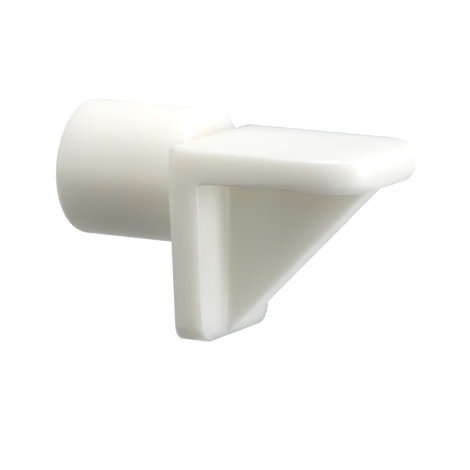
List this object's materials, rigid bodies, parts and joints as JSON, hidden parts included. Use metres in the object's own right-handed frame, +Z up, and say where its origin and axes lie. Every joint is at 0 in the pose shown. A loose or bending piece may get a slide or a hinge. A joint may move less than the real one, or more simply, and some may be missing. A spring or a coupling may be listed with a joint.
{
  "type": "shelf support pin",
  "caption": "Plastic shelf support: a round peg for a cabinet hole behind a flat seat, with a tapering back plate and a triangular web bracing the two.",
  "frame": {"origin": "on the peg's axis, in the plane of the back face that bears on the cabinet side", "axes": "+Z up, +X out under the shelf, -X along the peg into the cabinet side, Y along the cabinet side"},
  "size_m": [0.0161, 0.008, 0.0104],
  "materials": {
    "white_plastic": "moulded, soft satin"
  },
  "bodies": {
    "root": {"shelf_support": "white_plastic"}
  },
  "joints": []
}
